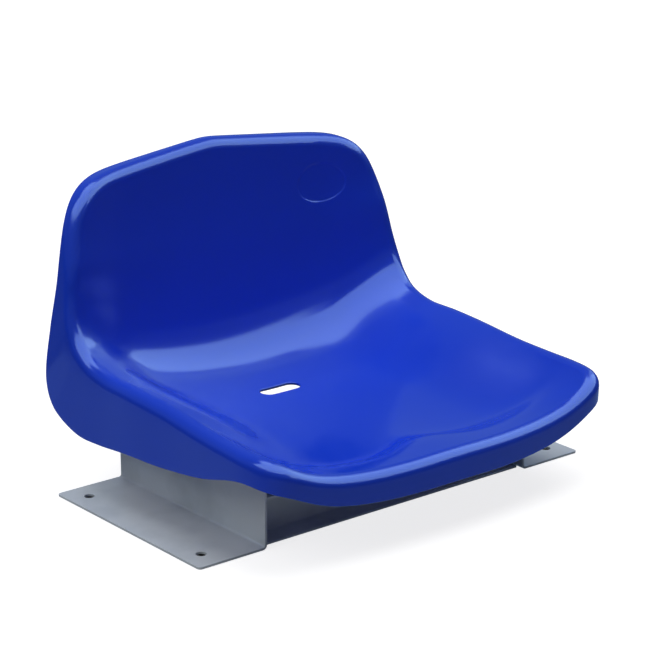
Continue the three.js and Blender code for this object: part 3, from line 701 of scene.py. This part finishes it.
def add_boss(made, centre):
    """A post turned on its axis, with the hole for the insert, that runs up into the pan's wall."""
    angles = np.linspace(0, 2 * pi, boss_sides, endpoint=False)

    def ring(radius, height=None):
        """A level ring, or without a height one in the middle of the pan's wall."""
        x, y = centre.x + radius * np.cos(angles), centre.y + radius * np.sin(angles)
        z = pan_height(x, y) - shell_wall / 2 if height is None else np.full(x.shape, height)
        return np.stack([x, y, z], -1)

    hole_top = boss_bottom + boss_hole_depth
    chamfer_top = boss_bottom + boss_chamfer
    rings = [ring(boss_hole_radius / 2, hole_top), ring(boss_hole_radius, hole_top),
             ring(boss_hole_radius, chamfer_top), ring(boss_hole_radius + boss_chamfer, boss_bottom),
             ring(boss_radius - boss_chamfer, boss_bottom), ring(boss_radius, chamfer_top),
             ring(boss_radius), ring(boss_radius / 2)]
    hole_end = made.add_points(rings[0])
    wall_end = made.add_loops(hole_end, rings[1:], True)
    made.faces.append(tuple(hole_end))
    made.faces.append(tuple(wall_end[::-1]))


def add_rib(made, x):
    """A thin upright rib along the side, whose top runs in the pan's wall."""
    low = base_top + rib_rise
    left, right = x - rib_width / 2, x + rib_width / 2
    loops = []
    for y in np.linspace(-rib_half_length, rib_half_length, rib_steps + 1) + base_middle:
        tops = pan_height(np.array([left, right]), np.array([y, y])) - shell_wall / 2
        corners = [(left, y, low + rib_chamfer), (left + rib_chamfer, y, low), (right - rib_chamfer, y, low),
                   (right, y, low + rib_chamfer), (right, y, tops[1]), (left, y, tops[0])]
        loops.append(np.array(corners))
    front = made.add_points(loops[0])
    rear = made.add_loops(front, loops[1:], True)
    made.faces.append(tuple(front[::-1]))
    made.faces.append(tuple(rear))


moulding = shell_moulding()
for place in bolt_places:
    add_boss(moulding, place)
for x in (bolt_places[0].x, bolt_places[-1].x):
    add_rib(moulding, x)
shell_mesh = moulding.as_mesh("moulded_shell", shell_sharp_angle)
shell_mesh.materials.append(blue_polypropylene())
shell = add_object("moulded_shell", shell_mesh)
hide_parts("seat_shell")
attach(shell, "root")

# Fixings
# Zinc plated M8 hexagon bolts hold the shell from below. Each runs through a split spring washer, a flat
# washer and the bracket's top flange into a brass insert that is pressed into the shell's boss.
zinc_hex = "#C9CDD0"
zinc_roughness = 0.3
zinc_grain_mm = 0.8
brass_hex = "#C8A35A"
brass_roughness = 0.28
brass_grain_mm = 0.5
fixing_edge = 0.00015
bolt_sides = 72
shank_radius = 0.004
tip_chamfer = 0.0008
tip_radius_share = 0.8
head_chamfer_angle = radians(30)
head_turned_share = 0.95
head_face_share = 0.86
head_face_sink = 0.0002


def plated_metal(name, colour_hex, roughness, grain_mm):
    """Bare or plated metal: a mirror-like film over turning marks, drawn coarse enough to show."""
    material, tree, output = new_material(name)
    place = add_node(tree, "ShaderNodeTexCoord").outputs["Object"]
    grain = add_node(tree, "ShaderNodeTexNoise", {"Vector": place}, Scale=1000 / grain_mm, Detail=3.0)
    dull = add_node(tree, "ShaderNodeMapRange", {"Value": grain.outputs["Fac"]},
                    To_Min=roughness - 0.08, To_Max=roughness + 0.12)
    bump = add_node(tree, "ShaderNodeBump", {"Height": grain.outputs["Fac"]}, Strength=0.15, Distance=0.0001)
    shader = add_node(tree, "ShaderNodeBsdfPrincipled",
                      {"Roughness": dull.outputs["Result"], "Normal": bump.outputs["Normal"]},
                      Metallic=1.0, Base_Color=linear(colour_hex))
    tree.links.new(shader.outputs["BSDF"], output.inputs["Surface"])
    return material


def hex_bolt_mesh():
    """Hexagon head, chamfered under its outer face by turning, with a plain shank."""
    low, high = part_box("left_front_bolt")
    head_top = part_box("left_front_spring_washer")[0].z - clearance
    angles = np.linspace(0, 2 * pi, bolt_sides, endpoint=False)
    flats = (high.x - low.x) / 2
    hexagon = flats / np.cos((angles + pi / 6) % (pi / 3) - pi / 6)
    turned_radius = head_turned_share * flats
    rise = (hexagon - turned_radius) * tan(head_chamfer_angle)

    def ring(radius, height):
        return np.stack([radius * np.cos(angles), radius * np.sin(angles),
                         np.broadcast_to(height, angles.shape)], -1)

    rings = [ring(turned_radius * head_face_share, low.z + head_face_sink), ring(turned_radius, low.z),
             ring(hexagon, low.z + rise), ring(hexagon, head_top), ring(shank_radius, head_top),
             ring(shank_radius, high.z - tip_chamfer), ring(shank_radius * tip_radius_share, high.z)]
    made = LoopMesh()
    face = made.add_points(rings[0])
    tip = made.add_loops(face, rings[1:], True)
    made.faces.append(tuple(face))
    made.faces.append(tuple(tip[::-1]))
    return made.as_mesh("hex_bolt", sharp_angle)


def centred_mesh(kind):
    """The left front piece of a kind with its edges broken, drawn back to the axis of its bolt."""
    shape = merged_shape(f"left_front_{kind}")
    bmesh.ops.translate(shape, verts=shape.verts, vec=(-bolt_places[0].x, -bolt_places[0].y, 0))
    sharp = [edge for edge in shape.edges if edge.calc_face_angle(0) > sharp_angle]
    bmesh.ops.bevel(shape, geom=sharp, offset=fixing_edge, segments=2, profile=0.5, affect="EDGES",
                    clamp_overlap=True)
    return smooth_mesh(kind, shape)


def fastening_tree():
    """Sets one copy of a piece at each of the four corners of a rectangle."""
    tree = bpy.data.node_groups.new("four corners", "GeometryNodeTree")
    face = tree.interface
    face.new_socket("Geometry", in_out="INPUT", socket_type="NodeSocketGeometry")
    for name in ("Spacing across", "Spacing along"):
        face.new_socket(name, in_out="INPUT", socket_type="NodeSocketFloat")
    face.new_socket("Middle", in_out="INPUT", socket_type="NodeSocketVector")
    face.new_socket("Finish", in_out="INPUT", socket_type="NodeSocketMaterial")
    face.new_socket("Geometry", in_out="OUTPUT", socket_type="NodeSocketGeometry")
    given = add_node(tree, "NodeGroupInput").outputs
    corners = add_node(tree, "GeometryNodeMeshGrid",
                       {"Size X": given["Spacing across"], "Size Y": given["Spacing along"]},
                       Vertices_X=2, Vertices_Y=2)
    placed = add_node(tree, "GeometryNodeSetPosition",
                      {"Geometry": corners.outputs["Mesh"], "Offset": given["Middle"]})
    copies = add_node(tree, "GeometryNodeInstanceOnPoints",
                      {"Points": placed.outputs["Geometry"], "Instance": given["Geometry"]})
    whole = add_node(tree, "GeometryNodeRealizeInstances", {"Geometry": copies.outputs["Instances"]})
    finished = add_node(tree, "GeometryNodeSetMaterial",
                        {"Geometry": whole.outputs["Geometry"], "Material": given["Finish"]})
    result = add_node(tree, "NodeGroupOutput")
    tree.links.new(finished.outputs["Geometry"], result.inputs["Geometry"])
    return tree


zinc = plated_metal("zinc_plated_steel", zinc_hex, zinc_roughness, zinc_grain_mm)
brass = plated_metal("turned_brass", brass_hex, brass_roughness, brass_grain_mm)
corners = fastening_tree()
bolt_spacing = bolt_places[-1] - bolt_places[0]
pattern_middle = (bolt_places[0] + bolt_places[-1]) / 2
pattern_middle.z = 0
for name, kind, finish, slot in (
    ("hex_bolts", "bolt", zinc, "zinc_steel"),
    ("spring_washers", "spring_washer", zinc, "zinc_steel"),
    ("flat_washers", "flat_washer", zinc, "zinc_steel"),
    ("threaded_inserts", "insert", brass, "insert_brass"),
):
    mesh = hex_bolt_mesh() if kind == "bolt" else centred_mesh(kind)
    piece = grown(name, mesh, corners, Spacing_across=bolt_spacing.x, Spacing_along=bolt_spacing.y,
                  Middle=pattern_middle, Finish=finish)
    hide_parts(*[f"{side}_{end}_{kind}" for side in ("left", "right") for end in ("front", "rear")])
    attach(piece, "root")

# Studio
# A pale seamless floor under a white background, lit by a wide lamp overhead and a weaker one from the left.
# Cards round the seat are seen only in its gloss: a dark and a grey mat on the floor, a grey curtain, a soft
# box at the right and a bright ceiling. Dark discs on the floor are painted shade, seen through the feet's
# holes.
floor_size = 40
floor_drop = 0.0002
floor_hex = "#AEAEAE"
floor_lift = 0.8
# painted shade: the colour of the dark discs seen on the floor through the feet's holes
hole_shade_hex = "#1E1C1A"
hole_shade_radius = 0.0054
hole_shade_rise = 0.0001
hole_shade_sides = 32
foot_hole_from_edge = 0.022
foot_hole_from_end = 0.027
fill_strength = 0.08
lamps = {
    # towards the lamp; softness in degrees; level on a face turned to it
    "overhead": (Vector((0.2, 0.08, 0.97)), 60, 0.62),
    "from_the_left": (Vector((-0.66, 0.02, 0.75)), 44, 0.3),
}
dark_mat_size = 7
grey_mat_size = 1.1
grey_mat_height = 0.0002
card_centre = Vector((0, 0, 0.15))
card_step = 5
card_hex = "#ACD4FF"


def seen_directly(tree):
    """1 for the rays that show the background: from the camera, off a gloss and through a glass."""
    path = add_node(tree, "ShaderNodeLightPath").outputs
    glossy = add_node(tree, "ShaderNodeMath", settings={"operation": "MAXIMUM"})
    tree.links.new(path["Is Camera Ray"], glossy.inputs[0])
    tree.links.new(path["Is Glossy Ray"], glossy.inputs[1])
    seen = add_node(tree, "ShaderNodeMath", settings={"operation": "MAXIMUM"})
    tree.links.new(glossy.outputs[0], seen.inputs[0])
    tree.links.new(path["Is Transmission Ray"], seen.inputs[1])
    return seen.outputs[0]


def add_square(name, size, height, material):
    """A level square under the seat."""
    half = size / 2
    mesh = bpy.data.meshes.new(name)
    corners = [(-half, -half, height), (half, -half, height), (half, half, height), (-half, half, height)]
    mesh.from_pydata(corners, [], [(0, 1, 2, 3)])
    mesh.materials.append(material)
    return add_object(name, mesh)


def pale_floor():
    """Matt floor paint that shows white round the seat and still takes its shadow."""
    material, tree, output = new_material("pale_floor")
    paint = add_node(tree, "ShaderNodeBsdfDiffuse", Color=linear(floor_hex))
    strength = add_node(tree, "ShaderNodeMath", {"Value": seen_directly(tree)}, {"operation": "MULTIPLY"})
    strength.inputs[1].default_value = floor_lift
    lift = add_node(tree, "ShaderNodeEmission", {"Strength": strength.outputs[0]})
    bright = add_node(tree, "ShaderNodeAddShader")
    tree.links.new(paint.outputs[0], bright.inputs[0])
    tree.links.new(lift.outputs[0], bright.inputs[1])
    tree.links.new(bright.outputs[0], output.inputs["Surface"])
    return material


def painted_hole_shade():
    """Painted shade: dark discs on the floor, seen through the holes of the feet."""
    material, tree, output = new_material("hole_shade_paint")
    dark = add_node(tree, "ShaderNodeBsdfDiffuse", Color=linear(hole_shade_hex))
    tree.links.new(dark.outputs[0], output.inputs["Surface"])
    made = LoopMesh()
    angles = np.linspace(0, 2 * pi, hole_shade_sides, endpoint=False)
    reach_x = -bracket_low.x - foot_hole_from_edge
    reach_y = bracket_high.y - base_middle - foot_hole_from_end
    for x in (-reach_x, reach_x):
        for y in (base_middle - reach_y, base_middle + reach_y):
            circle = [x + hole_shade_radius * np.cos(angles), y + hole_shade_radius * np.sin(angles),
                      np.full(angles.shape, hole_shade_rise)]
            made.faces.append(tuple(made.add_points(np.stack(circle, -1))))
    mesh = made.as_mesh("painted_hole_shade", sharp_angle)
    mesh.materials.append(material)
    return add_object("painted_hole_shade", mesh)


def white_world():
    world = bpy.data.worlds.new("studio")
    bpy.context.scene.world = world
    world.use_nodes = True
    tree = world.node_tree
    tree.nodes.clear()
    strength = add_node(tree, "ShaderNodeMapRange", {"Value": seen_directly(tree)}, To_Min=fill_strength)
    light = add_node(tree, "ShaderNodeBackground", {"Strength": strength.outputs["Result"]},
                     Color=(1, 1, 1, 1))
    output = tree.nodes.new("ShaderNodeOutputWorld")
    tree.links.new(light.outputs[0], output.inputs["Surface"])


def glow(name, level):
    """Light of one even level and the cards' colour."""
    material, tree, output = new_material(name)
    light = add_node(tree, "ShaderNodeEmission", Color=linear(card_hex), Strength=level)
    tree.links.new(light.outputs[0], output.inputs["Surface"])
    return material


def show_in_gloss(sheet):
    """Hides a sheet from all but reflections."""
    sheet.visible_camera = sheet.visible_diffuse = sheet.visible_shadow = False


def card(name, turns, rises, radius, level):
    """Part of a sphere between two turns, in degrees from behind towards the right, and two rises."""
    rows = [radians(rise) for rise in range(rises[0], rises[1] + 1, card_step)]
    columns = [radians(turn) for turn in range(turns[0], turns[1] + 1, card_step)]
    points = [card_centre + radius * Vector((sin(turn) * cos(rise), cos(turn) * cos(rise), sin(rise)))
              for rise in rows for turn in columns]
    wide = len(columns)
    corners = [row * wide + column for row in range(len(rows) - 1) for column in range(wide - 1)]
    faces = [(corner, corner + 1, corner + wide + 1, corner + wide) for corner in corners]
    mesh = bpy.data.meshes.new(name)
    mesh.from_pydata(points, [], faces)
    mesh.materials.append(glow(name, level))
    show_in_gloss(add_object(name, mesh))


add_square("floor", floor_size, -floor_drop, pale_floor())
painted_hole_shade()
white_world()
show_in_gloss(add_square("dark_mat", dark_mat_size, 0, glow("dark_mat", level=0.17)))
show_in_gloss(add_square("grey_mat", grey_mat_size, grey_mat_height, glow("grey_mat", level=0.5)))
card("low_curtain", turns=(0, 360), rises=(-5, 10), radius=3.2, level=0.2)
card("curtain", turns=(0, 360), rises=(10, 65), radius=3.2, level=0.48)
card("ceiling", turns=(0, 360), rises=(65, 90), radius=3.2, level=5.6)
card("ceiling_in_front", turns=(155, 300), rises=(35, 65), radius=3.1, level=5.6)
card("soft_box", turns=(80, 155), rises=(20, 65), radius=3, level=5.6)
card("soft_box_edge", turns=(65, 80), rises=(15, 60), radius=3, level=2.1)
for name, (direction, softness, level) in lamps.items():
    lamp_data = bpy.data.lights.new(name, "SUN")
    lamp_data.angle = radians(softness)
    lamp_data.energy = level * pi
    lamp = add_object(name, lamp_data)
    lamp.rotation_euler = direction.to_track_quat("Z", "Y").to_euler()
    lamp.visible_glossy = False

bpy.context.scene.view_settings.view_transform = "Standard"
